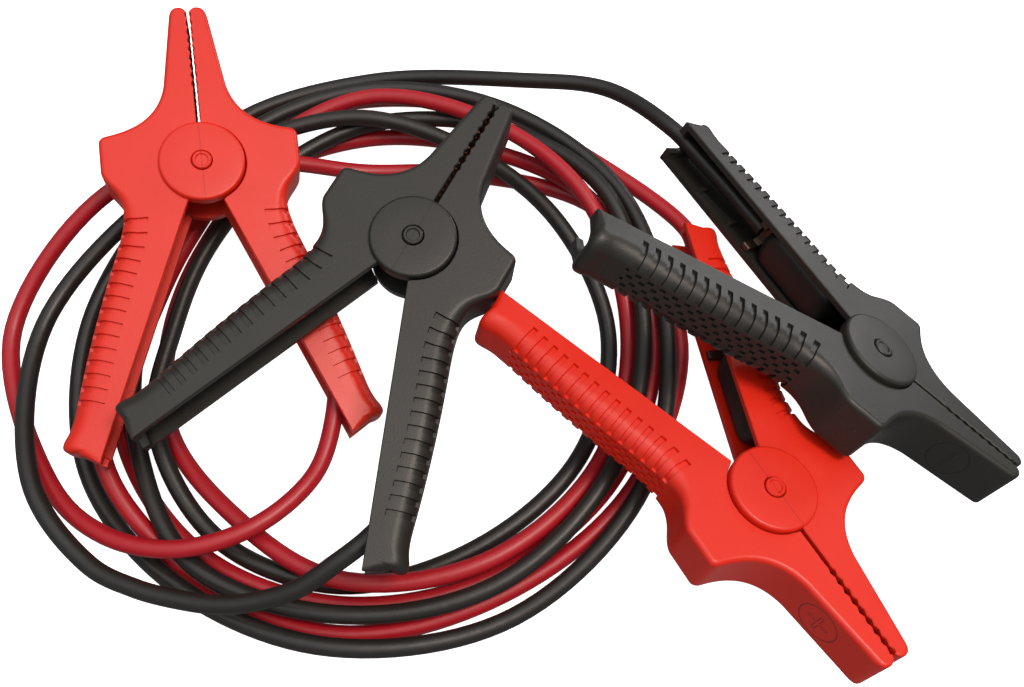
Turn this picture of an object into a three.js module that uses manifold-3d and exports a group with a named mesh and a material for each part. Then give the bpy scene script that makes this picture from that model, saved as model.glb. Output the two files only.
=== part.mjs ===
// Car jumper cable: one red and one black cable, loosely coiled, with four insulated spring clamps.
// Units are millimetres, +Z is up, and the set lies on the plane z = 0.
import * as THREE from 'three';
import { mergeVertices } from 'three/addons/utils/BufferGeometryUtils.js';
import Module from 'manifold-3d';

const wasm = await Module();
wasm.setup();

// Clearances between pieces
const seatGap = 0.3;          // between pieces that touch
const runGap = 0.45;          // round a disc that turns

// Clamp sizes, in the clamp's own frame: X runs from the pivot to the jaw tip, Z along the pivot
const clamp = {
  thick: 20,                  // over the two cheeks
  wall: 2.4,
  jawLength: 64,              // pivot to jaw tip
  tipHalf: 4.8,
  noseHalf: 7,
  noseBack: 3,                // the nose corner lies this far behind the tip
  jawMidX: 31.5,
  jawMidHalf: 11.4,
  jawRound: 1.2,              // edge rounding of jaws and wings
  wingOut: 35.8,              // pivot to the wing's outer face
  wingFront: 12.8,
  wingBack: -1,
  wingCorner: 3.2,
  waistX: -16,
  waistHalf: 29.3,
  slot: 0.9,                  // open slot between the jaws
  innerX: -15,                // where the handle's open edge starts
  innerHalf: 6.4,
};
const grip = {
  startX: -27,
  startHalf: 31.4,
  endX: -92,
  endHalf: 51.4,
  crown: 1.1,                 // bulge of the back between start and end
  lipX: -97,
  lipHalf: 56.6,
  lipWidth: 3,
  lipRise: 2.6,               // how far the lip stands off the handle's back
  tailX: -107,                // inner corner of the handle's end
  tailHalf: 43,
  round: 6.2,                 // rounding of the handle's back
  notchWidth: 9,
  notchDepth: 10,
};
const teeth = { count: 9, pitch: 3.6, depth: 1.4, tipSetback: 1.5 };
const disc = { radius: 15.5, rise: 2.2, edge: 0.8, sides: 24 };
const pin = { radius: 3.5, rise: 0.5, sides: 12 };
const spring = { wire: 2.6, turns: 4, sides: 10 };
const contact = { depth: 3, startX: 19, tipSetback: 3.2, setback: 0.8 };
const crimp = { x: -60, thick: 3, setback: 2.5 };
const cover = { endX: -20, setback: 3.4, fit: 0.7 };

// Cable sizes and colours
const cable = { diameter: 6.6, sides: 8, layer: 7.2 };
const colours = {
  redShell: 0xee4a30, blackShell: 0x444441, redCable: 0xc4263a, blackCable: 0x3b3834,
  steel: 0x9a9a98, copper: 0xa86a45, sleeve: 0x24211f,
};

// Materials
function finish(color, roughness, metalness) {
  return new THREE.MeshStandardMaterial({ color, roughness, metalness });
}
const finishes = {
  redShell: finish(colours.redShell, 0.42, 0),
  blackShell: finish(colours.blackShell, 0.5, 0),
  redCable: finish(colours.redCable, 0.4, 0),
  blackCable: finish(colours.blackCable, 0.42, 0),
  steel: finish(colours.steel, 0.35, 1),
  copper: finish(colours.copper, 0.35, 1),
  sleeve: finish(colours.sleeve, 0.6, 0),
};

// Solids: between three.js geometry and boolean work
function toSolid(geometry) {
  geometry.deleteAttribute('normal');
  geometry.deleteAttribute('uv');
  const merged = mergeVertices(geometry, 1e-4);
  const vertProperties = Float32Array.from(merged.attributes.position.array);
  const triVerts = Uint32Array.from(merged.index.array);
  return new wasm.Manifold(new wasm.Mesh({ numProp: 3, vertProperties, triVerts }));
}
function toGeometry(solid) {
  const mesh = solid.getMesh();
  const geometry = new THREE.BufferGeometry();
  const corners = Float32Array.from(mesh.vertProperties);
  geometry.setAttribute('position', new THREE.BufferAttribute(corners, 3));
  geometry.setIndex(new THREE.BufferAttribute(Uint32Array.from(mesh.triVerts), 1));
  return geometry;
}
function withoutStraights(points) {
  return points.filter((point, i) => {
    const before = points.at(i - 1).clone().sub(point);
    const after = points[(i + 1) % points.length].clone().sub(point);
    return Math.abs(before.cross(after)) > 1e-4;
  });
}
function prism(points, zLow, zHigh, round = 0, steps = 2) {
  const settings = { depth: zHigh - zLow - 2 * round, bevelEnabled: round > 0 };
  Object.assign(settings, { bevelThickness: round, bevelSize: round, bevelOffset: -round });
  settings.bevelSegments = steps;
  const geometry = new THREE.ExtrudeGeometry(new THREE.Shape(withoutStraights(points)), settings);
  geometry.translate(0, 0, zLow + round);
  return toSolid(geometry);
}
function turned(profile, sides) {
  return toSolid(new THREE.LatheGeometry(profile, sides).rotateX(Math.PI / 2));
}
function drum(radius, zLow, zHigh, sides = disc.sides) {
  const profile = [[0, zLow], [radius, zLow], [radius, zHigh], [0, zHigh]];
  return turned(profile.map(([r, z]) => new THREE.Vector2(r, z)), sides);
}

// Outline of one half, with the half on the +Y side, drawn w inside its outer face
function sideLine(w) {
  const line = new THREE.Path();
  line.moveTo(clamp.jawLength - w, 0);
  line.lineTo(clamp.jawLength - w, clamp.tipHalf - w / 2);
  line.lineTo(clamp.jawLength - clamp.noseBack - w / 2, clamp.noseHalf - w);
  line.lineTo(clamp.jawMidX, clamp.jawMidHalf - w);
  const front = clamp.wingFront - w;
  const out = clamp.wingOut - w;
  const corner = Math.max(clamp.wingCorner - w, 0.8);
  const neckHalf = clamp.jawMidHalf * 1.2 - w;
  const neckX = clamp.jawMidX * 0.68;
  line.bezierCurveTo(neckX, neckHalf, front + 2.5, (out - corner) * 0.62, front, out - corner);
  line.quadraticCurveTo(front, out, front - corner, out);
  line.lineTo(clamp.wingBack, out);
  const waist = clamp.waistHalf - w;
  line.bezierCurveTo(clamp.waistX * 0.35, out, clamp.waistX * 0.55, waist, clamp.waistX, waist);
  line.lineTo(grip.startX, grip.startHalf - w);
  const midX = (grip.startX + grip.endX) / 2;
  const midHalf = (grip.startHalf + grip.endHalf) / 2 + 2 * grip.crown;
  line.quadraticCurveTo(midX, midHalf - w, grip.endX, grip.endHalf - w);
  line.lineTo(grip.lipX - grip.lipWidth + w, grip.lipHalf - grip.lipRise - w);
  line.lineTo(grip.tailX + w, grip.tailHalf);
  return line.getPoints(4).filter((point, i, all) => i === 0 || point.distanceTo(all[i - 1]) > 0.05);
}
// The handle's open edge, its direction, and the direction from it into the handle
const edgeStart = new THREE.Vector2(clamp.innerX, clamp.innerHalf);
const edgeEnd = new THREE.Vector2(grip.tailX, grip.tailHalf);
const edgeWay = edgeEnd.clone().sub(edgeStart).normalize();
const intoHandle = new THREE.Vector2(edgeWay.y, -edgeWay.x);

// Closed outlines that run past the open edges: the jaw with its wing, and the handle
const cheek = clamp.thick / 2;
const inside = cheek - clamp.wall;
const outer = sideLine(0);
const inner = sideLine(clamp.wall);
const past = 12;
const gripFrom = (line) => line.findIndex((point) => point.x < clamp.waistX + 1);
function jawOutline(line) {
  return [...line.slice(0, gripFrom(line) + 2), edgeStart, new THREE.Vector2(0, -past),
    new THREE.Vector2(line[0].x, -past)];
}
function gripOutline(line) {
  return [...line.slice(gripFrom(line)), edgeEnd.clone().addScaledVector(intoHandle, -past),
    edgeStart.clone().addScaledVector(intoHandle, -past)];
}

// The region that one half may fill: above the slot, the teeth and the handle's open edge
function halfRegion() {
  const far = clamp.jawLength + 20;
  const slotEdge = clamp.slot / 2;
  const points = [[far, slotEdge], [clamp.jawLength - teeth.tipSetback, slotEdge]];
  for (let i = 0; i < teeth.count; i++) {
    const x = clamp.jawLength - teeth.tipSetback - i * teeth.pitch;
    points.push([x - teeth.pitch * 0.5, slotEdge + teeth.depth], [x - teeth.pitch, slotEdge]);
  }
  points.push([clamp.innerX * 0.35, slotEdge]);
  const beyond = edgeEnd.clone().addScaledVector(edgeWay, 20);
  const outline = points.map(([x, y]) => new THREE.Vector2(x, y));
  outline.push(edgeStart, beyond, new THREE.Vector2(beyond.x, far), new THREE.Vector2(far, far));
  return outline;
}

// Points inside the handle: x along the clamp, and the depth below the handle's open edge
function handlePoint(x, depth) {
  const along = (x - edgeStart.x) / edgeWay.x;
  return edgeStart.clone().addScaledVector(edgeWay, along).addScaledVector(intoHandle, depth);
}
function channelDepth(x) {
  const from = handlePoint(x, 0);
  const backStart = new THREE.Vector2(grip.startX, grip.startHalf - clamp.wall);
  const backWay = new THREE.Vector2(grip.endX, grip.endHalf - clamp.wall).sub(backStart);
  return backStart.sub(from).cross(backWay) / intoHandle.cross(backWay);
}
function handleBlock(x1, x2, depths, halfWidth, round = 0) {
  const [low1, high1, low2, high2] = depths;
  const near = [handlePoint(x1, low1), handlePoint(x1, high1)];
  const outline = [...near, handlePoint(x2, high2), handlePoint(x2, low2)];
  return prism(outline, -halfWidth, halfWidth, round, 1);
}

// One moulded half: jaw, wing and handle in one piece, with its pivot disc on the front
function moulding() {
  const jawOuter = prism(jawOutline(outer), -cheek, cheek, clamp.jawRound, 1);
  const gripOuter = prism(gripOutline(outer), -cheek, cheek, grip.round, 2);
  const gripPart = outer.slice(gripFrom(outer));
  const backEnd = gripPart.at(-2);
  const lipEnd = grip.lipX - grip.lipWidth;
  const lip = prism([
    new THREE.Vector2(grip.endX, grip.endHalf), new THREE.Vector2(grip.lipX, grip.lipHalf),
    new THREE.Vector2(lipEnd, grip.lipHalf), backEnd.clone().lerp(gripPart.at(-1), 0.4),
    backEnd.clone().lerp(edgeEnd, 0.4).addScaledVector(edgeWay, -grip.lipWidth),
  ], -cheek, cheek, clamp.jawRound, 1);
  const jawHollow = prism(jawOutline(inner), -inside, inside);
  const gripHollow = prism(gripOutline(inner), -inside, inside, grip.round - clamp.wall, 1);
  const notchDepths = [-4, grip.notchDepth, -4, grip.notchDepth];
  const notch = handleBlock(grip.tailX - 8, grip.tailX + 14, notchDepths, grip.notchWidth / 2);
  const discProfile = [[0, inside], [disc.radius, inside], [disc.radius, cheek + disc.rise - disc.edge],
    [disc.radius - disc.edge, cheek + disc.rise], [0, cheek + disc.rise]];
  const ownDisc = turned(discProfile.map(([r, z]) => new THREE.Vector2(r, z)), disc.sides);
  const bore = drum(pin.radius + seatGap, -clamp.thick, clamp.thick, pin.sides);
  return jawOuter.add(gripOuter).add(lip)
    .subtract(jawHollow)
    .subtract(gripHollow)
    .intersect(prism(halfRegion(), -clamp.thick, clamp.thick))
    .subtract(notch)
    .subtract(drum(disc.radius + runGap, -clamp.thick, 0))
    .add(ownDisc)
    .subtract(bore);
}

// Pivot pin through both discs, flush but for a low rise at each end
function pivotPin() {
  const end = cheek + disc.rise + pin.rise;
  return drum(pin.radius, -end, end, pin.sides);
}

// Torsion spring round the pin, its turns shown as grooves, with one short leg into the handle
function torsionSpring() {
  const half = inside - seatGap;
  const low = pin.radius + seatGap;
  const high = low + spring.wire;
  const pitch = 2 * half / spring.turns;
  const profile = [[low, -half]];
  for (let i = 0; i < spring.turns; i++) {
    const z = -half + i * pitch;
    profile.push([high - spring.wire * 0.25, z], [high, z + pitch / 2]);
  }
  profile.push([high - spring.wire * 0.25, half], [low, half], [low, -half]);
  return turned(profile.map(([r, z]) => new THREE.Vector2(r, z)), spring.sides);
}

// Toothed contact bar inside a jaw, seated between its cheeks
function contactBar() {
  const low = clamp.slot / 2 + contact.setback;
  const end = clamp.jawLength - clamp.wall - contact.tipSetback;
  const points = [[contact.startX, low], [end, low], [end, low + contact.depth * 0.6],
    [contact.startX, low + contact.depth]];
  return prism(points.map(([x, y]) => new THREE.Vector2(x, y)), -inside + seatGap, inside - seatGap);
}

// Bracket across the handle's channel, where the cable's end is held
function cableBracket() {
  const end = crimp.x + crimp.thick;
  const corner = grip.round - clamp.wall;
  const [depth1, depth2] = [crimp.x, end].map((x) => channelDepth(x) - corner);
  const depths = [crimp.setback, depth1, crimp.setback, depth2];
  return handleBlock(crimp.x, end, depths, inside - seatGap);
}

// Sleeve over the conductor, from the bracket towards the pivot
function conductorSleeve() {
  const start = crimp.x + crimp.thick + seatGap;
  const startDepth = channelDepth(start) - cover.fit;
  const endDepth = channelDepth(cover.endX) - cover.fit;
  const depths = [cover.setback, startDepth, cover.setback, endDepth];
  return handleBlock(start, cover.endX, depths, inside - seatGap, grip.round - clamp.wall);
}

// Where each clamp lies. Its frame is turned by heading about Z, raised by pitch, and rolled about X.
// cableSide is the half that holds the cable: 1 is the half on the clamp's +Y side, -1 the other one.
const clamps = [
  { name: 'red_clamp_a', red: true, at: [-117.3, 203.2, 39.6],
    heading: 98.9, pitch: 10.7, roll: 11.1, cableSide: -1 },
  { name: 'black_clamp_a', red: false, at: [-35.6, 167.2, 46.2],
    heading: 61.8, pitch: 1.7, roll: 6, cableSide: -1 },
  { name: 'red_clamp_b', red: true, at: [84.8, 77.7, 31.7],
    heading: -59.2, pitch: 4, roll: -16.4, cableSide: 1 },
  { name: 'black_clamp_b', red: false, at: [125.8, 127.5, 29.9],
    heading: -38.9, pitch: -10.9, roll: -30.2, cableSide: 1 },
];
const radians = Math.PI / 180;
function clampMatrix({ at, heading, pitch, roll }) {
  const turn = new THREE.Euler(roll * radians, -pitch * radians, heading * radians, 'ZYX');
  return new THREE.Matrix4().makeRotationFromEuler(turn).setPosition(...at);
}

const solids = {
  half: moulding(), pin: pivotPin(), spring: torsionSpring(),
  contact: contactBar(), bracket: cableBracket(), sleeve: conductorSleeve(),
};
const flip = new THREE.Matrix4().makeRotationX(Math.PI);

const set = new THREE.Group();
function addMesh(group, name, solid, material, matrix) {
  const mesh = new THREE.Mesh(toGeometry(solid), material);
  mesh.name = name;
  if (matrix) mesh.applyMatrix4(matrix);
  group.add(mesh);
  return mesh;
}
for (const one of clamps) {
  const group = new THREE.Group();
  group.applyMatrix4(clampMatrix(one));
  const shell = one.red ? finishes.redShell : finishes.blackShell;
  for (const side of [1, -1]) {
    const half = side === one.cableSide ? 'cable_half' : 'free_half';
    const turn = side === 1 ? null : flip;
    addMesh(group, `${one.name}_${half}`, solids.half, shell, turn);
    addMesh(group, `${one.name}_${half}_contact`, solids.contact, finishes.copper, turn);
    if (side === one.cableSide) {
      addMesh(group, `${one.name}_bracket`, solids.bracket, finishes.steel, turn);
      addMesh(group, `${one.name}_sleeve`, solids.sleeve, finishes.sleeve, turn);
    }
  }
  addMesh(group, `${one.name}_pin`, solids.pin, shell);
  addMesh(group, `${one.name}_spring`, solids.spring, finishes.steel);
  set.add(group);
}

// Cable routes. A route leaves a clamp's handle, winds round the coil and goes into another handle.
// The coil's turns are given at every 30 degrees round its centre: the distance from the centre, and
// the layer, which is 0 on the floor and rises by one cable where turns cross.
const coil = { x: -62, y: 152, firstHeading: -150, stepDegrees: 30, samplesPerTurn: 20 };
const redCoil = {
  radius: [
    124, 133, 108, 77, 72, 84, 112, 128, 124, 117, 115, 108,
    102, 78, 78, 90, 103, 103, 106, 108, 108.5, 105, 97, 83,
    79, 73, 74, 84, 90, 97, 110, 118, 116, 110, 105, 101,
    96, 92.5, 93, 106, 110, 119,
  ],
  layer: [
    1, 0.6, 3, 2.6, 0.4, 0, 0, 0, 0, 0, 0, 0,
    1.5, 1.5, 1, 1, 1.6, 2.1, 2, 0, 0.2, 1, 1, 0.4,
    0, 0, 0, 0, 0, 0.3, 1, 0.1, 0, 0, 0, 0,
    0, 0, 0, 0, 0, 0,
  ],
};
const blackCoil = {
  radius: [
    127, 119, 98, 91, 91, 90, 93, 100, 101, 98, 98, 93,
    82, 69, 69, 77, 92, 106, 114, 113, 114, 114, 109, 105,
    90, 85, 88, 101, 110, 116, 122, 122, 127, 126, 120, 114,
    112, 106, 103, 114, 120, 133,
  ],
  layer: [
    2.2, 1.2, 2, 2, 2, 1.2, 0.9, 0, 0, 0, 0, 0,
    1, 1, 1, 1, 1, 1, 2, 1, 1, 1, 1, 1,
    0.9, 0.2, 1, 1, 1, 1, 1, 1, 1, 0.3, 1, 0.6,
    0, 0, 0, 0, 0, 1,
  ],
};
const floorHeight = cable.diameter / 2 + 0.2;
function coilPoints({ radius, layer }) {
  return radius.map((r, i) => {
    const heading = (coil.firstHeading - i * coil.stepDegrees) * radians;
    const z = floorHeight + layer[i] * cable.layer;
    return new THREE.Vector3(coil.x + r * Math.cos(heading), coil.y + r * Math.sin(heading), z);
  });
}
// Points of a cable inside a clamp's handle: [x along the clamp, depth below the open edge, sideways]
function inHandle(which, points) {
  const one = clamps[which];
  const matrix = clampMatrix(one);
  return points.map(([x, depth, side]) => {
    const { x: px, y: py } = handlePoint(x, depth);
    return new THREE.Vector3(px, one.cableSide * py, one.cableSide * side).applyMatrix4(matrix);
  });
}
const toPoints = (list) => list.map((p) => new THREE.Vector3(...p));
const redRoute = [
  ...inHandle(0, [[-60.4, 9, 0], [-74, 8.5, 0], [-86, 6, 0]]),
  ...toPoints([[-69, 100, 12], [-76, 86, 14], [-93, 71, 18], [-118, 64, 19], [-145, 70, 16]]),
  ...coilPoints(redCoil),
  ...toPoints([[24, 239, 3.5]]),
  ...inHandle(2, [[-112, 5, 0], [-98, 6.3, 0], [-80, 8.5, 0], [-60.4, 9, 0]]),
];
const blackRoute = [
  ...inHandle(1, [[-60.4, 9, 0], [-78, 8.5, 0], [-89, 5.4, 0], [-97, -0.5, 0]]),
  ...toPoints([[-58.2, 56, 36.5], [-70, 49, 32], [-83, 45.5, 28], [-97, 44.3, 25], [-112, 46.2, 22.5],
    [-129, 50.5, 20.5], [-147, 59, 19]]),
  ...coilPoints(blackCoil),
  ...toPoints([[40, 258, 17]]),
  ...inHandle(3, [[-112, 5, 0], [-98, 7, 0], [-80, 8.5, 0], [-60.4, 9, 0]]),
];

// A cable is a tube with a corner at each sample of its route
class SampledPath extends THREE.CatmullRomCurve3 {
  getSpacedPoints(divisions) { return this.getPoints(divisions); }
  getPointAt(u) { return this.getPoint(u); }
  getTangentAt(u) { return this.getTangent(u); }
}
function cableTube(route) {
  const path = new SampledPath(route);
  const steps = Math.round((route.length - 1) * coil.samplesPerTurn * coil.stepDegrees / 360);
  const section = Array.from({ length: cable.sides }, (_, i) => {
    const turn = (i + 0.5) * 2 * Math.PI / cable.sides;
    return new THREE.Vector2(Math.cos(turn), Math.sin(turn)).multiplyScalar(cable.diameter / 2);
  });
  return toSolid(new THREE.ExtrudeGeometry(new THREE.Shape(section), { steps, extrudePath: path }));
}
addMesh(set, 'red_cable', cableTube(redRoute), finishes.redCable);
addMesh(set, 'black_cable', cableTube(blackRoute), finishes.blackCable);

// Stand the clamps' own box on z = 0, centred on the origin
const box = new THREE.Box3();
for (const group of set.children) {
  if (group.isGroup) box.expandByObject(group, true);
}
const middle = box.getCenter(new THREE.Vector3());
set.position.set(-middle.x, -middle.y, -box.min.z);
set.updateMatrixWorld(true);

export default set;
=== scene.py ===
# Car jumper cable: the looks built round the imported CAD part.
# Sizes are in millimetres in the dictionaries and turn into metres where a mesh is made.
import math
import bmesh
import bpy
import numpy as np
from mathutils import Matrix, Vector


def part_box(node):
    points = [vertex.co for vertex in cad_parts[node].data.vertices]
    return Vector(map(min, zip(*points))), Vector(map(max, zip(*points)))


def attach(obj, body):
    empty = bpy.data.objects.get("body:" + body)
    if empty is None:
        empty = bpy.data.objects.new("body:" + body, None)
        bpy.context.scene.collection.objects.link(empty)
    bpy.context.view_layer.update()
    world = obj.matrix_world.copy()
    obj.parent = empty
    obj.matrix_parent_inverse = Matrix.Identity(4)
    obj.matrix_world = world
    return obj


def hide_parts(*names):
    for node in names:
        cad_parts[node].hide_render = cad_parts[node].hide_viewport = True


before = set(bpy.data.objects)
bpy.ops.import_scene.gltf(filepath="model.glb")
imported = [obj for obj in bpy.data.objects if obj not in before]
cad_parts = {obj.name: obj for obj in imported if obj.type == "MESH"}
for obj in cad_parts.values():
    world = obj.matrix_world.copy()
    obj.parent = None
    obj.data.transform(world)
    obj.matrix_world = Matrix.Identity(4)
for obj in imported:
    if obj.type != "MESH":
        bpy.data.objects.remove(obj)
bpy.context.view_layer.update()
print("frame loaded")

# ---- Camera, fitted to the photo ----
# Places are in the source's own millimetres, where the red clamp a's pin is at pinPlace
cameraSetup = {
    "focalLength": 35.156, "sensorWidth": 36,
    "elevation": 68, "place": (0, 0, 368.5),
    "pinPlace": (-117.3, 203.2, 39.6),
    "nearClip": 0.01, "farClip": 20,
}


def boxMiddle(node):
    low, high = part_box(node)
    return (Vector(low) + Vector(high)) / 2


toRow = boxMiddle("red_clamp_a_pin") - Vector(cameraSetup["pinPlace"]) / 1000
camera = bpy.data.objects.new("photoCamera", bpy.data.cameras.new("photoCamera"))
bpy.context.collection.objects.link(camera)
camera.data.lens = cameraSetup["focalLength"]
camera.data.sensor_width = cameraSetup["sensorWidth"]
camera.data.clip_start, camera.data.clip_end = cameraSetup["nearClip"], cameraSetup["farClip"]
camera.rotation_euler = (math.radians(90 - cameraSetup["elevation"]), 0, 0)
camera.location = Vector(cameraSetup["place"]) / 1000 + toRow
bpy.context.scene.camera = camera

# ---- Where the clamps lie ----
# cableSide is the half that holds the cable: 1 is the one on the clamp's own +Y side
clamps = {
    "red_clamp_a": {"red": True, "heading": 98.9, "pitch": 10.7, "roll": 11.1, "cableSide": -1},
    "black_clamp_a": {"red": False, "heading": 61.8, "pitch": 1.7, "roll": 6, "cableSide": -1},
    "red_clamp_b": {"red": True, "heading": -59.2, "pitch": 4, "roll": -16.4, "cableSide": 1},
    "black_clamp_b": {"red": False, "heading": -38.9, "pitch": -10.9, "roll": -30.2, "cableSide": 1},
}


def clampMatrix(name):
    place = clamps[name]
    heading, pitch, roll = (math.radians(place[key]) for key in ("heading", "pitch", "roll"))
    turn = (Matrix.Rotation(heading, 4, "Z") @ Matrix.Rotation(-pitch, 4, "Y")
            @ Matrix.Rotation(roll, 4, "X"))
    return Matrix.Translation(boxMiddle(name + "_pin")) @ turn


# ---- Material helpers ----
def linearColour(code):
    parts = [int(code[i:i + 2], 16) / 255 for i in (1, 3, 5)]
    return [c / 12.92 if c <= 0.04045 else ((c + 0.055) / 1.055) ** 2.4 for c in parts] + [1]


def addNode(tree, kind, inputs=None, **settings):
    made = tree.nodes.new(kind)
    for name, value in settings.items():
        setattr(made, name, value)
    for key, value in (inputs or {}).items():
        if isinstance(value, bpy.types.NodeSocket):
            tree.links.new(value, made.inputs[key])
        else:
            made.inputs[key].default_value = value
    return made


def maths(tree, operation, *values):
    inputs = dict(enumerate(values))
    return addNode(tree, "ShaderNodeMath", inputs, operation=operation).outputs[0]


def newMaterial(name):
    material = bpy.data.materials.new(name)
    material.use_nodes = True
    tree = material.node_tree
    tree.nodes.clear()
    surface = addNode(tree, "ShaderNodeBsdfPrincipled")
    addNode(tree, "ShaderNodeOutputMaterial", {"Surface": surface.outputs[0]})
    return material, tree, surface


def noiseAt(tree, coordinates, size, detail=2.0):
    inputs = {"Vector": coordinates, "Scale": 1000 / size, "Detail": detail}
    return addNode(tree, "ShaderNodeTexNoise", inputs).outputs[0]


def tinted(tree, amount, first, second):
    inputs = {0: amount, 6: first, 7: second}
    return addNode(tree, "ShaderNodeMix", inputs, data_type="RGBA").outputs[2]


def connect(tree, surface, tone, bump, rough):
    tree.links.new(tone, surface.inputs["Base Color"])
    tree.links.new(bump.outputs[0], surface.inputs["Normal"])
    tree.links.new(rough, surface.inputs["Roughness"])


# ---- Mesh helpers ----
sharpAngle = 33         # degrees; edges that turn more than this stay crisp


def makeMesh(name, points, faces, material, matrix, side=1, places=None):
    turned = np.array(points, float)
    if side < 0:
        turned = turned * (1, -1, -1)
    mesh = bpy.data.meshes.new(name)
    mesh.from_pydata([matrix @ Vector(p / 1000) for p in turned], [], faces)
    if places is not None:
        attribute = mesh.attributes.new("place", "FLOAT_VECTOR", "POINT")
        attribute.data.foreach_set("vector", np.array(places, float).ravel())
    work = bmesh.new()
    work.from_mesh(mesh)
    bmesh.ops.recalc_face_normals(work, faces=work.faces)
    work.to_mesh(mesh)
    work.free()
    mesh.polygons.foreach_set("use_smooth", [True] * len(mesh.polygons))
    mesh.set_sharp_from_angle(angle=math.radians(sharpAngle))
    mesh.materials.append(material)
    piece = bpy.data.objects.new(name, mesh)
    bpy.context.collection.objects.link(piece)
    return piece


def curveOf(controls, count):
    t = np.linspace(0, 1, count + 1)[:, None]
    layers = [np.array(p, float) + 0 * t for p in controls]
    while len(layers) > 1:
        layers = [a + (b - a) * t for a, b in zip(layers, layers[1:])]
    return layers[0]


def distancesOf(path):
    steps = np.linalg.norm(np.diff(path, axis=0), axis=1)
    return np.concatenate([[0], np.cumsum(steps)])


def stripFaces(rings, count, closed=True):
    faces = []
    for ring in range(rings - 1):
        for k in range(count if closed else count - 1):
            after = (k + 1) % count
            faces.append([ring * count + k, ring * count + after,
                          (ring + 1) * count + after, (ring + 1) * count + k])
    return faces


def turnedProfile(profile, sides):
    # A closed outline of (radius, height) turned about the pivot's axis
    points = []
    for step in range(sides):
        angle = 2 * math.pi * step / sides
        points += [(r * math.cos(angle), r * math.sin(angle), z) for r, z in profile]
    count = len(profile)
    faces = []
    for step in range(sides):
        here, there = step * count, (step + 1) % sides * count
        for k in range(count):
            after = (k + 1) % count
            faces.append([here + k, here + after, there + after, there + k])
    return points, faces


# ---- Moulded half ----
half = {
    "cheek": 10, "wall": 2.4, "edgeBreak": 0.35,
    "jawRound": 1.8, "gripRound": 6.2,
    "slotHalf": 0.45, "backSlotHalf": 0.75, "toothDepth": 0.7, "toothPitch": 3.6, "toothCount": 9,
    "firstTooth": 62.5, "discRadius": 15.5, "discRise": 2.2, "discRound": 1.2, "discGap": 0.45,
    "grooves": 15, "groovePitch": 4.8, "grooveWidth": 2.0, "grooveDepth": 1.1, "firstGroove": 4.4,
    "pocketDepth": 1.0, "notchHalf": 4.5, "notchDepth": 9.9, "lipPeak": 13, "bore": 3.8,
}
neckBack, handleFront = -5.25, -15      # X where the slot leaves the neck, and where the handle starts
edgeStart = np.array([handleFront, 6.4])
edgeEnd = np.array([-107, 43.0])
edgeWay = (edgeEnd - edgeStart) / np.linalg.norm(edgeEnd - edgeStart)
intoHandle = np.array([edgeWay[1], -edgeWay[0]])


def gripLine(t):
    y = (1 - t) ** 2 * 31.4 + 2 * t * (1 - t) * 43.6 + t * t * 51.4
    return np.stack([-27 - 65 * t, y], axis=1)


# Outline of a half in its clamp's frame, from the jaw's tip round the wing to the handle's end
outlineParts = {
    "tip": np.concatenate([curveOf([(61.7, 0.45), (63, 1.0), (64, 1.9), (64, 3.4)], 7),
                           curveOf([(64, 3.4), (64, 5.8), (62.5, 6.7), (60, 7.15)], 9)[1:]]),
    "jaw": curveOf([(60, 7.15), (31.5, 11.4)], 2),
    "neck": curveOf([(31.5, 11.4), (21.4, 13.7), (15.3, 20.2), (12.8, 32.6)], 40),
    "corner": curveOf([(12.8, 32.6), (12.2, 35.8), (9.6, 35.8)], 12),
    "top": curveOf([(9.6, 35.8), (-1, 35.8)], 2),
    "back": curveOf([(-1, 35.8), (-5.6, 35.8), (-8.8, 29.3), (-16, 29.3)], 30),
    "grip": np.concatenate([curveOf([(-16, 29.3), (-21.5, 29.5), (-27.5, 31.63), (-34, 33.98)], 20),
                            gripLine(np.linspace(7 / 65, 60 / 65, 60))[1:]]),
    "flare": np.concatenate([curveOf([(-87, 50.17), (-91, 51.17), (-94, 52.3), (-96.4, 54)], 10),
                             curveOf([(-96.4, 54), (-98.5, 55.5), (-100.4, 56), (-101.4, 54.2)], 8)[1:],
                             curveOf([(-101.4, 54.2), (-102.2, 52.8), (-102.2, 51.2)], 5)[1:]]),
    "end": curveOf([(-102.2, 51.2), (-107, 43)], 2),
}


def slotEdgeY(x):
    toothEnd = half["firstTooth"] - half["toothCount"] * half["toothPitch"]
    phase = ((half["firstTooth"] - x) / half["toothPitch"]) % 1
    tooth = half["toothDepth"] * (1 - np.abs(2 * phase - 1))
    tooth = np.where((x > toothEnd) & (x < half["firstTooth"]), tooth, 0)
    inJaw = np.interp(x, [toothEnd - 1, toothEnd], [half["backSlotHalf"], half["slotHalf"]]) + tooth
    inNeck = np.interp(-x, [-neckBack, -handleFront], [half["backSlotHalf"], edgeStart[1]])
    inHandle = edgeStart[1] + (edgeStart[0] - x) * -edgeWay[1] / edgeWay[0]
    return np.where(x > neckBack, inJaw, np.where(x > handleFront, inNeck, inHandle))


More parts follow.
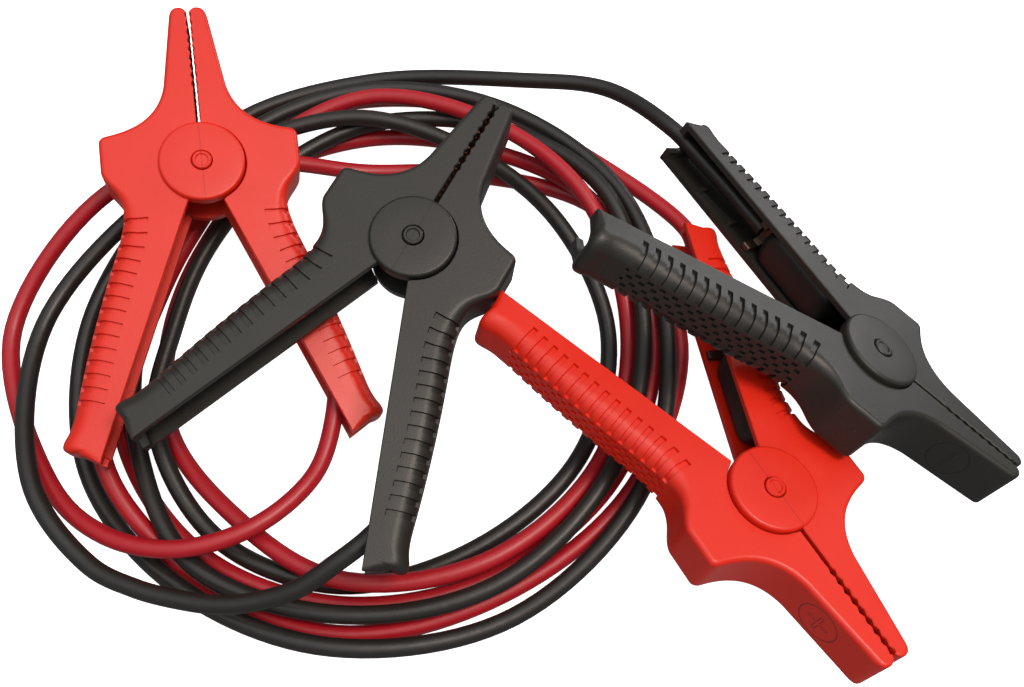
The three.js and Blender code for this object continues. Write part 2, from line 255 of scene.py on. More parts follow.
def halfStations():
    # Distances along the outline at which the shell gets a ring, and where each part starts
    starts, path, total = {}, [], 0.0
    for name, points in outlineParts.items():
        starts[name] = total
        total += distancesOf(points)[-1]
        path.append(points if not path else points[1:])
    path = np.concatenate(path)
    starts["finish"] = total
    spots = []

    def spread(name, after, count):
        spots.extend(np.linspace(starts[name], starts[after], count + 1)[:-1])

    spread("tip", "jaw", 12)
    jawLength = starts["neck"] - starts["jaw"]
    valleys = np.arange(58.9, 31.6, -half["toothPitch"] / 2)
    spots.extend([starts["jaw"], *(starts["jaw"] + (60 - valleys) / 28.5 * jawLength)])
    spread("neck", "corner", 22)
    spread("corner", "top", 8)
    spread("top", "back", 4)
    spread("back", "grip", 16)
    centres = half["firstGroove"] + half["groovePitch"] * np.arange(half["grooves"])
    reach = half["grooveWidth"] / 2
    inGrip = [0, 1.5]
    step = 0.07         # half the width of a groove's steep side
    for centre in centres:
        for middle in (centre, centre + half["groovePitch"] / 2):
            inGrip += [middle + side * reach + rise for side in (-1, 1) for rise in (-step, step)]
    gripLength = starts["flare"] - starts["grip"]
    inGrip += [gripLength - 2.5, gripLength - 1.2]
    spots.extend(starts["grip"] + d for d in inGrip if d < gripLength - 1)
    spread("flare", "end", 20)
    endLength = starts["finish"] - starts["end"]
    shares = np.array([0, 0.05, 0.1, 0.16, 0.24, 0.34, 0.46, 0.6, 0.75, 0.9, 1])
    spots.extend(starts["end"] + endLength * shares)
    return np.array(sorted(spots)), starts, path, centres


def unitRows(vectors):
    return vectors / np.maximum(np.linalg.norm(vectors, axis=1, keepdims=True), 1e-9)


def halfShape():
    spots, starts, path, centres = halfStations()
    along = distancesOf(path)

    def onPath(where):
        return np.stack([np.interp(where, along, path[:, axis]) for axis in (0, 1)], axis=1)

    outline = onPath(spots)
    way = unitRows(onPath(spots + 0.25) - onPath(spots - 0.25))
    inward = np.stack([-way[:, 1], way[:, 0]], axis=1)

    def keyed(table):
        places = [starts[name] + extra for name, extra, _ in table]
        return np.interp(spots, places, [value for _, _, value in table])

    backLength = starts["grip"] - starts["back"]
    apex = half["lipPeak"]
    edgeX = keyed([("tip", 0, 61.2), ("jaw", 0, 60), ("neck", 0, 31.5), ("corner", 0, 11.5),
                   ("top", 0, 9), ("back", 0, -2), ("back", backLength * 0.3, neckBack),
                   ("grip", 0, handleFront), ("grip", 18.6, -40.2), ("flare", 0, -91.5),
                   ("flare", apex, -99.2), ("end", 0, -101.2), ("finish", 0, -106.2)])
    edge = np.stack([edgeX, slotEdgeY(edgeX)], axis=1)
    rayLength = np.linalg.norm(outline - edge, axis=1)
    rounding = keyed([("tip", 0, 0.5), ("jaw", 0, 1.8), ("back", backLength * 0.4, half["jawRound"]),
                      ("grip", 11, half["gripRound"]), ("flare", 0, half["gripRound"]),
                      ("flare", apex, 6), ("end", 4, 4), ("finish", 0, 0.6)])
    rounding = np.minimum(rounding, 0.42 * rayLength)
    asGrip = keyed([("back", backLength * 0.4, 0), ("grip", 3, 1), ("finish", 0, 1)])
    towardEdge = keyed([("grip", 60, 0), ("flare", 8, 1), ("finish", 0, 1)])[:, None]
    asEnd = keyed([("flare", 0, 0), ("flare", apex - 3, 1), ("finish", 0, 1)])
    inset = unitRows(inward * (1 - towardEdge) + unitRows(edge - outline) * towardEdge)

    # Middle of the wall's inner face, by offset or, at the two ends, by its own line
    innerLine = outline + inward * half["wall"]
    def keyedLine(table):
        columns = [keyed([(name, extra, spot[axis]) for name, extra, spot in table]) for axis in (0, 1)]
        return np.stack(columns, axis=1)

    tipLine = keyedLine([("tip", 0, (59.8, 0.5)), ("tip", 2.4, (61.2, 2)), ("jaw", -1, (60.8, 4.2)),
                         ("jaw", 0, (59.6, 4.8))])
    tailLine = keyedLine([("flare", 0, (-86.4, 47.85)), ("flare", apex, (-97.6, 50.5)),
                          ("end", 0, (-99.3, 49.2)), ("finish", 0, (-104.6, 42.05))])
    innerLine = np.where((spots < starts["jaw"])[:, None], tipLine, innerLine)
    innerLine = np.where((spots > starts["flare"])[:, None], tailLine, innerLine)
    # The inner face ends short of the jaw's tip and of the handle's end
    tipShift, tailShift = -1.4, 1.9
    shift = (tipShift * np.clip((edgeX - 57) / 4.2, 0, 1)
             + tailShift * np.clip((-101.8 - edgeX) / 4.4, 0, 1))
    slotX = np.where(edgeX > handleFront, edgeX, edgeX + shift)
    innerEdge = np.stack([edgeX + shift, slotEdgeY(slotX)], axis=1)

    def outsideDisc(points, targets):
        # Edge points under the other half's disc move along their ray to its clearance circle
        radius = half["discRadius"] + half["discGap"]
        ray = targets - points
        a = (ray ** 2).sum(1)
        b = (points * ray).sum(1)
        c = (points ** 2).sum(1) - radius ** 2
        t = (-b + np.sqrt(np.maximum(b * b - a * c, 0))) / a
        return np.where((c < 0)[:, None], points + ray * np.clip(t, 0, 1)[:, None], points)

    # Rows are distances from the wall's middle round the section; the fifth one runs round the notch
    gripRows = [0.42, 0.55, 1.75, 1.88, 2.38, 2.52, 3.72, 3.85, 4.65, 4.8, 6.6, 8.6, 10.6, 12.2, 13.6,
                17.02, 17.18]
    endRows = [0.08, 1.92, 2.08, 3.92, 4.08, 4.62, 4.78, 6, 7.2, 8.4, 9.6, 10.8, 12, 13, 13.6,
               17.02, 17.18]
    jawRows = [0.3, 1.6, 2.4, 3.9, 4.6, 5.6, 6.6, 7.6, 8.2, 8.7, 9.2, 9.7, 10.3, 10.7, 11.03,
               11.6, 12.4]
    notchRows = 5
    innerGrip = gripRows[:notchRows] + [5.2, 6.8, 8.4, 9.7]
    innerEnd = endRows[:notchRows] + [5.2, 6.8, 8.4, 9.7]
    innerJaw = jawRows[:notchRows] + [6, 6.8, 7.3, 7.9]

    # The notch in the handle's end: its half width at each ring
    depthIn = (outline - edgeStart) @ intoHandle
    atEnd = spots > starts["flare"] + apex
    notch, notchDepth, fullWidth = half["notchHalf"], half["notchDepth"], endRows[notchRows - 1]
    over = np.clip(depthIn - (notchDepth - notch), 0, None)
    notchWide = np.sqrt(np.maximum(notch ** 2 - over ** 2, 1.0))
    widening = np.minimum(1 + (depthIn - notchDepth) * 1.2, fullWidth)
    notchWide = np.where(depthIn > notchDepth, widening, notchWide)
    notchWide = np.where(atEnd, notchWide, fullWidth)

    def section(i, reach, line, edgePoint, halfThick, bend, turn):
        # Point and outward direction at the distance reach round the section
        flat = halfThick - bend
        if reach <= flat:
            return np.array([*line[i], reach]), np.array([*-inset[i], 0])
        angle = (reach - flat) / bend
        if angle <= math.pi / 2:
            spot = line[i] + inset[i] * bend * (1 - math.cos(angle))
            return (np.array([*spot, flat + bend * math.sin(angle)]),
                    np.array([*(-inset[i] * math.cos(angle)), math.sin(angle)]))
        start = line[i] + inset[i] * bend
        length = max(np.linalg.norm(edgePoint - start), 1e-6)
        extra = min(reach - flat - bend * math.pi / 2, length * turn)
        spot = start + (edgePoint - start) * extra / length
        return np.array([*spot, halfThick]), np.array([0, 0, 1])

    def relief(i, row, side):
        # How deep a groove or a grip pocket is at this point
        where = spots[i] - starts["grip"]
        if not 0 < where < starts["flare"] - starts["grip"]:
            return 0
        reach = gripRows[row]
        size = half["grooveWidth"] / 2
        onGroove = np.min(np.abs(where - centres)) < size
        between = np.min(np.abs(where - centres - half["groovePitch"] / 2)) < size
        if 4.7 < reach < 17.1:
            return half["grooveDepth"] * onGroove
        if 0.5 < reach < 1.8 or 2.5 < reach < 3.8:
            band = (reach > 2) == (side > 0)
            return half["pocketDepth"] * (onGroove if band else between)
        return 0

    cheek, wall, chamfer = half["cheek"], half["wall"], half["edgeBreak"]
    backEdge = outsideDisc(edge, outline)
    innerBackEdge = outsideDisc(innerEdge, innerLine)
    points = []
    for i in range(len(spots)):
        mix = asGrip[i]
        last = asEnd[i]
        rows, innerRows = (
            [a * (1 - mix) + (b * (1 - last) + c * last) * mix for a, b, c in zip(*lists)]
            for lists in ((jawRows, gripRows, endRows), (innerJaw, innerGrip, innerEnd)))
        scale = notchWide[i] / fullWidth if mix == 1 else 1
        rows[:notchRows] = [r * scale for r in rows[:notchRows]]
        innerRows[:notchRows] = [r * scale for r in innerRows[:notchRows]]
        ring = {}
        for side, rim, innerRim in ((1, edge[i], innerEdge[i]), (-1, backEdge[i], innerBackEdge[i])):
            flip = np.array([1, 1, side])
            bend = rounding[i]
            outerRows = []
            for row, reach in enumerate(rows):
                spot, out = section(i, reach, outline, rim, cheek, bend, 0.6 * row / 16)
                outerRows.append((spot - out * relief(i, row, side)) * flip)
            start = outline[i] + inset[i] * bend
            toward = unitRows((start - rim)[None])[0]
            step = min(chamfer, 0.3 * np.linalg.norm(start - rim))
            outerRows.append(np.array([*(rim + toward * step), cheek]) * flip)
            outerRows.append(np.array([*rim, cheek - chamfer]) * flip)
            inside = cheek - wall
            innerBend = min(max(bend - wall, 0.4), 0.4 * np.linalg.norm(innerLine[i] - innerRim) + 0.01)
            insideRows = [section(i, reach, innerLine, innerRim, inside, innerBend, 0.1 * row)[0] * flip
                          for row, reach in enumerate(innerRows)]
            insideRows.append(np.array([*innerRim, inside]) * flip)
            ring[side] = (outerRows, insideRows)
        points += ring[1][0][::-1] + ring[-1][0] + ring[-1][1][::-1] + ring[1][1]
    # A ring runs over the outer face, then back over the inner one; the notch is cut from both
    outerCount, innerCount = 2 * (len(jawRows) + 2), 2 * (len(innerJaw) + 1)
    count = outerCount + innerCount
    span = 2 * notchRows - 1
    a = outerCount // 2 - notchRows
    c = outerCount + innerCount // 2 - notchRows
    b, d = a + span, c + span
    firstNotch = int(np.argmax(atEnd & (depthIn < notchDepth)))
    faces = []
    for i in range(len(spots) - 1):
        here, there = i * count, (i + 1) * count
        for k in range(count):
            if i < firstNotch or not (a <= k < b or c <= k < d):
                after = (k + 1) % count
                faces.append([here + k, here + after, there + after, there + k])
        if i >= firstNotch:
            faces.append([here + a, there + a, there + d, here + d])
            faces.append([here + b, here + c, there + c, there + b])
    here = firstNotch * count
    for k in range(span):
        faces.append([here + a + k, here + d - k, here + d - 1 - k, here + a + 1 + k])
    final = (len(spots) - 1) * count
    faces.append(list(range(count))[::-1])
    faces.append([final + k for k in [*range(a + 1), *range(d, count)]])
    faces.append([final + k for k in range(b, c + 1)])
    return points, faces


def discShape():
    top = half["cheek"] + half["discRise"]
    low = half["cheek"] - half["wall"] + 0.1
    bore, out, bend = half["bore"], half["discRadius"], half["discRound"]
    rim = [(out - bend + bend * math.sin(a), top - bend + bend * math.cos(a))
           for a in np.linspace(0, math.pi / 2, 7)]
    profile = [(bore, low), (bore, top - 0.3), (bore + 0.3, top), (8, top), *rim, (out, low)]
    return turnedProfile(profile, 96)


halfPoints, halfFaces = halfShape()
discPoints, discFaces = discShape()
offset = len(halfPoints)
halfPoints = [tuple(p) for p in halfPoints] + discPoints
halfFaces = halfFaces + [[k + offset for k in face] for face in discFaces]
print("half shaped:", len(halfFaces), "faces")


# ---- Materials ----
polarityMark = {"fromPivot": 42, "ringRadius": 7.1, "ringHalf": 0.26, "armLength": 4, "armHalf": 0.75,
                "line": 0.4}


def shellMaterial(name, colour, deepColour, roughness, speckle, cross):
    # Moulded plastic: fine grain that breaks the highlight, slight tone drift, engraved polarity mark
    # whose lines are also darkened as painted shade in their grooves
    material, tree, surface = newMaterial(name)
    coordinates = addNode(tree, "ShaderNodeTexCoord").outputs["Object"]
    drift = noiseAt(tree, coordinates, 22)
    grain = noiseAt(tree, coordinates, 0.6, 3)
    fleck = maths(tree, "GREATER_THAN", noiseAt(tree, coordinates, 0.6), 1 - speckle)
    place = addNode(tree, "ShaderNodeAttribute", attribute_name="place").outputs["Vector"]
    split = addNode(tree, "ShaderNodeSeparateXYZ", {0: place})
    x = maths(tree, "SUBTRACT", split.outputs[0], polarityMark["fromPivot"])
    y, z = split.outputs[1], split.outputs[2]

    def both(a, b):
        return maths(tree, "MULTIPLY", a, b)

    def either(a, b):
        return maths(tree, "MAXIMUM", a, b)

    def within(value, reach):
        return maths(tree, "LESS_THAN", maths(tree, "ABSOLUTE", value), reach)

    def bars(inset):
        long, wide = polarityMark["armLength"] - inset, polarityMark["armHalf"] - inset
        across = both(within(x, wide), within(z, long))
        return either(across, both(within(x, long), within(z, wide))) if cross else across

    far = maths(tree, "SQRT", maths(tree, "ADD", both(x, x), both(z, z)))
    ring = within(maths(tree, "SUBTRACT", far, polarityMark["ringRadius"]), polarityMark["ringHalf"])
    mark = maths(tree, "SUBTRACT", bars(0), bars(polarityMark["line"]))
    onJaw = both(maths(tree, "GREATER_THAN", y, 7.0), within(z, 9.0))
    # A faint parting line across the pivot disc, darkened as painted shade along the seam
    onDisc = both(maths(tree, "GREATER_THAN", z, 11.0), within(y, 0.2))
    engraved = either(both(onJaw, either(ring, mark)), both(onDisc, 0.45))
    tone = tinted(tree, drift, linearColour(colour), linearColour(deepColour))
    pale = [min(1, c * 1.6 + 0.03) for c in linearColour(colour)[:3]] + [1]
    tone = tinted(tree, both(fleck, 0.5), tone, pale)
    # Painted shade: the engraved mark and the parting line are darkened in the base colour, as if
    # shaded in their grooves
    paintedGrooveShade = [c * 0.35 for c in linearColour(deepColour)[:3]] + [1]
    tone = tinted(tree, both(engraved, 0.75), tone, paintedGrooveShade)
    height = maths(tree, "SUBTRACT", both(grain, 0.05), both(engraved, 0.3))
    bump = addNode(tree, "ShaderNodeBump", {"Height": height, "Distance": 0.001, "Strength": 1.0})
    connect(tree, surface, tone, bump, maths(tree, "ADD", roughness, both(drift, 0.08)))
    surface.inputs["IOR"].default_value = 1.48
    return material


def jacketMaterial(name, colour, deepColour, roughness):
    # Soft cable jacket: satin, with a faint waviness along the cable
    material, tree, surface = newMaterial(name)
    coordinates = addNode(tree, "ShaderNodeTexCoord").outputs["Object"]
    drift = noiseAt(tree, coordinates, 30)
    wave = noiseAt(tree, coordinates, 4)
    tone = tinted(tree, drift, linearColour(colour), linearColour(deepColour))
    bump = addNode(tree, "ShaderNodeBump", {"Height": wave, "Distance": 0.0003, "Strength": 0.4})
    rough = maths(tree, "ADD", roughness, maths(tree, "MULTIPLY", drift, 0.1))
    connect(tree, surface, tone, bump, rough)
    return material


def metalMaterial(name, colour, roughness):
    # Plain metal with fine scratches that spread the highlight
    material, tree, surface = newMaterial(name)
    coordinates = addNode(tree, "ShaderNodeTexCoord").outputs["Object"]
    scratch = noiseAt(tree, coordinates, 0.8, 4)
    worn = [c * 0.7 for c in linearColour(colour)[:3]] + [1]
    tone = tinted(tree, scratch, linearColour(colour), worn)
    tree.links.new(tone, surface.inputs["Base Color"])
    tree.links.new(maths(tree, "ADD", roughness, maths(tree, "MULTIPLY", scratch, 0.2)),
                   surface.inputs["Roughness"])
    surface.inputs["Metallic"].default_value = 1
    return material


paints = {
    "red_shell": shellMaterial("orangeRedPlastic", "#DB2A12", "#D21E0B", 0.34, 0.0, True),
    "black_shell": shellMaterial("charcoalPlastic", "#262521", "#1E1D1A", 0.4, 0.3, False),
    "contact_metal": metalMaterial("copperPlatedSteel", "#A96B48", 0.3),
    "spring_steel": metalMaterial("springSteel", "#6A5A4E", 0.4),
    "sleeve_rubber": jacketMaterial("darkSleeve", "#1F1C1A", "#171513", 0.4),
    "red_cable": jacketMaterial("crimsonJacket", "#B01824", "#A0121E", 0.36),
    "black_cable": jacketMaterial("blackJacket", "#24221F", "#1B1917", 0.36),
}
print("materials made")


def settle(piece, node, body):
    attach(piece, body)
    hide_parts(node)


# ---- Cables, along the CAD's own routes ----
cables = {
    "diameter": 6.6, "layer": 7.2, "floorHeight": 3.5, "perSegment": 12,
    "coilX": -62, "coilY": 152, "firstHeading": -150, "stepDegrees": 30,
}
redCoil = {
    "radius": [124, 133, 108, 77, 72, 84, 112, 128, 124, 117, 115, 108,
               102, 78, 78, 90, 103, 103, 106, 108, 108.5, 105, 97, 83,
               79, 73, 74, 84, 90, 97, 110, 118, 116, 110, 105, 101,
               96, 92.5, 93, 106, 110, 119],
    "layer": [1, 0.6, 3, 2.6, 0.4, 0, 0, 0, 0, 0, 0, 0,
              1.5, 1.5, 1, 1, 1.6, 2.1, 2, 0, 0.2, 1, 1, 0.4,
              0, 0, 0, 0, 0, 0.3, 1, 0.1, 0, 0, 0, 0,
              0, 0, 0, 0, 0, 0],
}
blackCoil = {
    "radius": [127, 119, 98, 91, 91, 90, 93, 100, 101, 98, 98, 93,
               82, 69, 69, 77, 92, 106, 114, 113, 114, 114, 109, 105,
               90, 85, 88, 101, 110, 116, 122, 122, 127, 126, 120, 114,
               112, 106, 103, 114, 120, 133],
    "layer": [2.2, 1.2, 2, 2, 2, 1.2, 0.9, 0, 0, 0, 0, 0,
              1, 1, 1, 1, 1, 1, 2, 1, 1, 1, 1, 1,
              0.9, 0.2, 1, 1, 1, 1, 1, 1, 1, 0.3, 1, 0.6,
              0, 0, 0, 0, 0, 1],
}


def coilPoints(coil):
    points = []
    for i, (radius, layer) in enumerate(zip(coil["radius"], coil["layer"])):
        heading = math.radians(cables["firstHeading"] - i * cables["stepDegrees"])
        points.append((cables["coilX"] + radius * math.cos(heading),
                       cables["coilY"] + radius * math.sin(heading),
                       cables["floorHeight"] + layer * cables["layer"]))
    return [Vector(p) / 1000 + toRow for p in points]


def freePoints(points):
    return [Vector(p) / 1000 + toRow for p in points]


def handlePoint(x, depth):
    return edgeStart + edgeWay * ((x - edgeStart[0]) / edgeWay[0]) + intoHandle * depth


def inHandle(name, points):
    side = clamps[name]["cableSide"]
    matrix = clampMatrix(name)
    local = [(*handlePoint(x, depth), sideways) for x, depth, sideways in points]
    return [matrix @ (Vector((x, side * y, side * z)) / 1000) for x, y, z in local]


routes = {
    "red_cable": [
        *inHandle("red_clamp_a", [(-60.4, 9, 0), (-74, 8.5, 0), (-86, 6, 0)]),
        *freePoints([(-69, 100, 12), (-76, 86, 14), (-93, 71, 18), (-118, 64, 19), (-145, 70, 16)]),
        *coilPoints(redCoil), *freePoints([(24, 239, 3.5)]),
        *inHandle("red_clamp_b", [(-112, 5, 0), (-98, 6.3, 0), (-80, 8.5, 0), (-60.4, 9, 0)]),
    ],
    "black_cable": [
        *inHandle("black_clamp_a", [(-60.4, 9, 0), (-78, 8.5, 0), (-89, 5.4, 0), (-97, -0.5, 0)]),
        *freePoints([(-58.2, 56, 36.5), (-70, 49, 32), (-83, 45.5, 28), (-97, 44.3, 25),
                     (-112, 46.2, 22.5), (-129, 50.5, 20.5), (-147, 59, 19)]),
        *coilPoints(blackCoil), *freePoints([(40, 258, 17)]),
        *inHandle("black_clamp_b", [(-112, 5, 0), (-98, 7, 0), (-80, 8.5, 0), (-60.4, 9, 0)]),
    ],
}


def smoothRoute(points, perSegment):
    # Centripetal Catmull-Rom through the points, as the CAD has it
    p = [np.array(v) for v in points]
    p = [2 * p[0] - p[1], *p, 2 * p[-1] - p[-2]]
    made = []
    for a, b, c, d in zip(p, p[1:], p[2:], p[3:]):
        before, span, after = (math.sqrt(np.linalg.norm(v - u)) for u, v in ((a, b), (b, c), (c, d)))
        startWay = ((b - a) / before - (c - a) / (before + span) + (c - b) / span) * span
        endWay = ((c - b) / span - (d - b) / (span + after) + (d - c) / after) * span
        for t in np.arange(perSegment) / perSegment:
            made.append(b + startWay * t + (3 * (c - b) - 2 * startWay - endWay) * t ** 2
                        + (2 * (b - c) + startWay + endWay) * t ** 3)
    made.append(p[-2])
    return np.array(made)


for name, route in routes.items():
    line = smoothRoute(route, cables["perSegment"])
    curve = bpy.data.curves.new(name + "_jacket", "CURVE")
    curve.dimensions = "3D"
    spline = curve.splines.new("POLY")
    spline.points.add(len(line) - 1)
    spline.points.foreach_set("co", np.c_[line, np.ones(len(line))].ravel())
    spline.use_smooth = True
    curve.bevel_depth = cables["diameter"] / 2000
    curve.bevel_resolution = 6
    curve.use_fill_caps = True
    curve.materials.append(paints[name])
    piece = bpy.data.objects.new(name + "_jacket", curve)
    bpy.context.collection.objects.link(piece)
    settle(piece, name, "set")


# ---- Small pieces of each clamp ----
def channelDepth(x):
    # Depth of the handle's channel at x, down to the straight line of its floor
    start = handlePoint(x, 0)
    backStart, backWay = np.array([-27, 29.0]), np.array([-65, 20.0])
    gap = backStart - start
    return ((gap[0] * backWay[1] - gap[1] * backWay[0])
            / (intoHandle[0] * backWay[1] - intoHandle[1] * backWay[0]))


pin = {"radius": 3.5, "end": 12.7, "dish": 0.5, "sides": 40}


def pinShape():
    r, end, dish = pin["radius"], pin["end"], pin["dish"]
    top = [(0.01, end - dish), (r - 1.4, end - dish), (r - 1.0, end), (r - 0.35, end), (r, end - 0.35)]
    return turnedProfile(top + [(x, -z) for x, z in top[::-1]], pin["sides"])


sleeve = {"from": -56.7, "to": -20, "top": 1.7, "half": 7.5, "fit": 0.9, "squareness": 0.4,
          "rings": 18, "sides": 28}


def sleeveShape():
    rings, sides, power = sleeve["rings"], sleeve["sides"], sleeve["squareness"]
    points = []
    for ring in range(rings):
        t = ring / (rings - 1)
        x = sleeve["from"] + (sleeve["to"] - sleeve["from"]) * t
        low = channelDepth(x) - sleeve["fit"]
        middle, tall = (sleeve["top"] + low) / 2, (low - sleeve["top"]) / 2
        close = min(1, (min(t, 1 - t) * 7 + 0.02)) ** 0.45
        for k in range(sides):
            angle = 2 * math.pi * k / sides
            c, s = math.cos(angle), math.sin(angle)
            wide = sleeve["half"] * math.copysign(abs(c) ** power, c) * close
            deep = middle + tall * math.copysign(abs(s) ** power, s) * close
            points.append((*handlePoint(x, deep), wide))
    faces = stripFaces(rings, sides)
    faces += [list(range(sides))[::-1], [(rings - 1) * sides + k for k in range(sides)]]
    return points, faces


bracket = {"x": -60, "thick": 3, "half": 7.5, "gapHalf": 5.0, "top": 0.9, "floorGap": 3.8}


def bracketShape():
    top, wide, gap = bracket["top"], bracket["half"], bracket["gapHalf"]
    points = []
    for x in (bracket["x"], bracket["x"] + bracket["thick"]):
        low = channelDepth(x) - bracket["floorGap"]
        outline = [(-wide, top + 0.4), (-wide + 0.4, top), (-gap - 0.4, top), (-gap, top + 0.4),
                   (-gap, 7), (-gap + 1.4, 8.6), (gap - 1.4, 8.6), (gap, 7), (gap, top + 0.4),
                   (gap + 0.4, top), (wide - 0.4, top), (wide, top + 0.4), (wide, low), (-wide, low)]
        points += [(*handlePoint(x, depth), side) for side, depth in outline]
    count = len(outline)
    caps = [list(range(count))[::-1], [count + k for k in range(count)]]
    return points, stripFaces(2, count) + caps


# A slanting rib on the channel's wall, with a small post at each end: its two ends as X and depth,
# its height and its thickness
ribs = {
    "wallSide": -7.7,
    "blocks": [((-85.5, 2.6), (-70.5, 6.2), 1.0, 1.4), ((-87.2, 2.0), (-85.4, 2.0), 3.6, 2.2),
               ((-70.6, 2.6), (-68.8, 2.6), 5.0, 2.2)],
}


def ribShape():
    points, faces = [], []
    for (x1, low1), (x2, low2), tall, thick in ribs["blocks"]:
        start = len(points)
        for side in (ribs["wallSide"], ribs["wallSide"] + thick):
            for x, deep in ((x1, low1), (x2, low2), (x2, low2 + tall), (x1, low1 + tall)):
                points.append((*handlePoint(x, deep), side))
        block = stripFaces(2, 4) + [[3, 2, 1, 0], [4, 5, 6, 7]]
        faces += [[start + k for k in face] for face in block]
    return points, faces


def nodeGroup(name, sockets):
    group = bpy.data.node_groups.new(name, "GeometryNodeTree")
    for socketName, kind in sockets:
        group.interface.new_socket(name=socketName, in_out="INPUT", socket_type="NodeSocket" + kind)
    group.interface.new_socket(name="Geometry", in_out="OUTPUT", socket_type="NodeSocketGeometry")
    return group, addNode(group, "NodeGroupInput").outputs


def bake(name, group, values):
    holder = bpy.data.objects.new(name, bpy.data.meshes.new(name))
    bpy.context.collection.objects.link(holder)
    modifier = holder.modifiers.new(name, "NODES")
    modifier.node_group = group
    for item in group.interface.items_tree:
        if item.in_out == "INPUT" and item.name in values:
            modifier[item.identifier] = values[item.name]
    bpy.context.view_layer.update()
    evaluated = holder.evaluated_get(bpy.context.evaluated_depsgraph_get())
    mesh = bpy.data.meshes.new_from_object(evaluated)
    bpy.data.objects.remove(holder)
    return mesh


def finishGroup(group, given, shape):
    whole = addNode(group, "GeometryNodeRealizeInstances", {0: shape.outputs[0]})
    painted = addNode(group, "GeometryNodeSetMaterial", {
        "Geometry": whole.outputs[0], "Material": given["Material"]})
    addNode(group, "NodeGroupOutput", {0: painted.outputs[0]})
    return group


spring = {"radius": 5.1, "wire": 0.95, "turns": 6.0, "height": 12.0}


def springGroup():
    group, given = nodeGroup("coiledWire", [
        ("Turns", "Float"), ("Coil Radius", "Float"), ("Wire Radius", "Float"), ("Height", "Float"),
        ("Material", "Material")])
    spiral = addNode(group, "GeometryNodeCurveSpiral", {
        "Resolution": 24, "Rotations": given["Turns"], "Start Radius": given["Coil Radius"],
        "End Radius": given["Coil Radius"], "Height": given["Height"]})
    ring = addNode(group, "GeometryNodeCurvePrimitiveCircle", {
        "Resolution": 10, "Radius": given["Wire Radius"]})
    tube = addNode(group, "GeometryNodeCurveToMesh", {
        "Curve": spiral.outputs[0], "Profile Curve": ring.outputs[0], "Fill Caps": True})
    down = maths(group, "MULTIPLY", given["Height"], -0.5)
    drop = addNode(group, "ShaderNodeCombineXYZ", {2: down})
    moved = addNode(group, "GeometryNodeTransform", {
        "Geometry": tube.outputs[0], "Translation": drop.outputs[0]})
    return finishGroup(group, given, moved)


contact = {"low": 1.25, "depth": 2.2, "from": 19, "to": 58.4, "teeth": 16, "width": 14.6}


def contactGroup():
    group, given = nodeGroup("toothedBar", [
        ("Teeth", "Int"), ("Length", "Float"), ("Depth", "Float"), ("Width", "Float"),
        ("Material", "Material")])

    def vector(*parts):
        return addNode(group, "ShaderNodeCombineXYZ", dict(enumerate(parts))).outputs[0]

    def product(a, b):
        return maths(group, "MULTIPLY", a, b)

    length, depth, width = given["Length"], given["Depth"], given["Width"]
    pitch = maths(group, "DIVIDE", length, given["Teeth"])
    bar = addNode(group, "GeometryNodeMeshCube", {"Size": vector(length, product(depth, 0.6), width)})
    lifted = addNode(group, "GeometryNodeTransform", {
        "Geometry": bar.outputs[0],
        "Translation": vector(product(length, 0.5), product(depth, 0.7), 0.0)})
    start = vector(product(pitch, 0.5), product(depth, 0.22), 0.0)
    line = addNode(group, "GeometryNodeMeshLine", {
        "Count": given["Teeth"], "Start Location": start, "Offset": vector(pitch, 0.0, 0.0)})
    tooth = addNode(group, "GeometryNodeMeshCylinder", {
        "Vertices": 3, "Radius": product(pitch, 0.52), "Depth": width})
    turned = addNode(group, "GeometryNodeTransform", {
        "Geometry": tooth.outputs[0], "Rotation": (0, 0, -math.pi / 2)})
    teeth = addNode(group, "GeometryNodeInstanceOnPoints", {
        "Points": line.outputs[0], "Instance": turned.outputs[0]})
    joined = addNode(group, "GeometryNodeJoinGeometry", {0: lifted.outputs[0]})
    group.links.new(teeth.outputs[0], joined.inputs[0])
    return finishGroup(group, given, joined)


springMesh = bake("springWire", springGroup(), {
    "Turns": spring["turns"], "Coil Radius": spring["radius"], "Wire Radius": spring["wire"],
    "Height": spring["height"], "Material": paints["spring_steel"]})
contactMesh = bake("contactBar", contactGroup(), {
    "Teeth": contact["teeth"], "Length": float(contact["to"] - contact["from"]),
    "Depth": contact["depth"], "Width": contact["width"], "Material": paints["contact_metal"]})


def meshParts(mesh, move=(0, 0, 0)):
    points = [tuple(np.array(v.co) + move) for v in mesh.vertices]
    return points, [list(p.vertices) for p in mesh.polygons]


springParts = meshParts(springMesh)
contactParts = meshParts(contactMesh, (contact["from"], contact["low"], 0))
pinParts, sleeveParts, bracketParts = pinShape(), sleeveShape(), bracketShape()
ribPoints, ribFaces = ribShape()
cableHalfPoints = halfPoints + ribPoints
cableHalfFaces = halfFaces + [[k + len(halfPoints) for k in face] for face in ribFaces]
print("small pieces shaped")

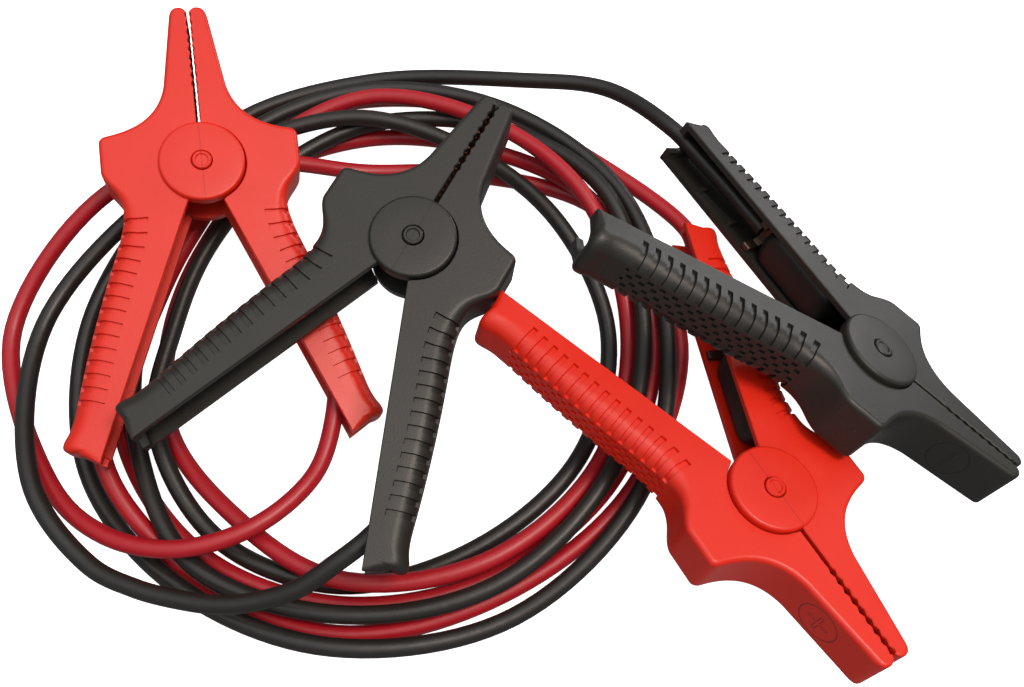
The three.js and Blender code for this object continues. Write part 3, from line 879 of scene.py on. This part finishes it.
for name, place in clamps.items():
    matrix = clampMatrix(name)
    shellSlot = "red_shell" if place["red"] else "black_shell"
    for side in (1, -1):
        isCableHalf = side == place["cableSide"]
        node = name + ("_cable_half" if isCableHalf else "_free_half")
        body = "set" if isCableHalf else name + "_free"
        points, faces = (cableHalfPoints, cableHalfFaces) if isCableHalf else (halfPoints, halfFaces)
        piece = makeMesh(node + "_shell", points, faces, paints[shellSlot], matrix, side, points)
        settle(piece, node, body)
        piece = makeMesh(node + "_teeth", *contactParts, paints["contact_metal"], matrix, side)
        settle(piece, node + "_contact", body)
        if isCableHalf:
            piece = makeMesh(name + "_clip", *bracketParts, paints["spring_steel"], matrix, side)
            settle(piece, name + "_bracket", "set")
            piece = makeMesh(name + "_cover", *sleeveParts, paints["sleeve_rubber"], matrix, side)
            settle(piece, name + "_sleeve", "set")
    piece = makeMesh(name + "_rivet", *pinParts, paints[shellSlot], matrix, 1, pinParts[0])
    settle(piece, name + "_pin", "set")
    piece = makeMesh(name + "_coil", *springParts, paints["spring_steel"], matrix)
    settle(piece, name + "_spring", "set")
print("clamps placed")

# ---- Floor and light ----
studio = {
    "floorSize": 3.0, "floorColour": "#F4F4F4", "floorGlow": 1.0,
    "skyLow": 0.22, "skySide": 0.3, "skyTop": 1.3,
    "keyPower": 14, "keySize": 0.5, "keyPlace": (0.6, -0.05, 1.5), "keyColour": "#FFEBDC",
    "rimPower": 5, "rimSize": 0.5, "rimPlace": (1.15, 1.1, 0.3), "rimColour": "#FFFFFF",
}
floorMesh = bpy.data.meshes.new("floor")
reach = studio["floorSize"] / 2
corners = [(-reach, -reach, 0), (reach, -reach, 0), (reach, reach, 0), (-reach, reach, 0)]
floorMesh.from_pydata(corners, [], [(0, 1, 2, 3)])
floor = bpy.data.objects.new("floor", floorMesh)
bpy.context.collection.objects.link(floor)
# Matt white sweep: a plain ground that keeps shadows soft
floorPaint, _, floorSurface = newMaterial("paleFloor")
floorSurface.inputs["Base Color"].default_value = linearColour(studio["floorColour"])
floorSurface.inputs["Roughness"].default_value = 0.9
floorSurface.inputs["Emission Color"].default_value = (1, 1, 1, 1)
floorSurface.inputs["Emission Strength"].default_value = studio["floorGlow"]
floorMesh.materials.append(floorPaint)
# The white ground isn't mirrored in the clamps, so their side walls stay deep in tone
floor.visible_glossy = False
floor.visible_diffuse = False
bpy.context.scene.view_settings.view_transform = "Standard"

world = bpy.data.worlds.new("softStudio")
bpy.context.scene.world = world
world.use_nodes = True
world.node_tree.nodes.clear()
direction = addNode(world.node_tree, "ShaderNodeTexCoord").outputs["Generated"]
upward = addNode(world.node_tree, "ShaderNodeSeparateXYZ", {0: direction}).outputs[2]
# The sky is dim at the sides and bright overhead, as under a large soft box
sideGlow = addNode(world.node_tree, "ShaderNodeMapRange", {
    "Value": upward, "From Min": -0.1, "From Max": 0.15,
    "To Min": studio["skyLow"], "To Max": studio["skySide"]})
topGlow = addNode(world.node_tree, "ShaderNodeMapRange", {
    "Value": upward, "From Min": 0.6, "From Max": 0.92,
    "To Min": 0.0, "To Max": studio["skyTop"] - studio["skySide"]}, interpolation_type="SMOOTHSTEP")
strength = maths(world.node_tree, "ADD", sideGlow.outputs[0], topGlow.outputs[0])
background = addNode(world.node_tree, "ShaderNodeBackground", {
    "Color": (1, 1, 1, 1), "Strength": strength})
addNode(world.node_tree, "ShaderNodeOutputWorld", {"Surface": background.outputs[0]})
for name in ("key", "rim"):
    light = bpy.data.lights.new(name + "Light", "AREA")
    light.energy, light.size = studio[name + "Power"], studio[name + "Size"]
    light.color = linearColour(studio[name + "Colour"])[:3]
    lamp = bpy.data.objects.new(name + "Light", light)
    bpy.context.collection.objects.link(lamp)
    lamp.location = studio[name + "Place"]
    lamp.rotation_euler = (-Vector(studio[name + "Place"])).to_track_quat("-Z", "Y").to_euler()
print("stage set")
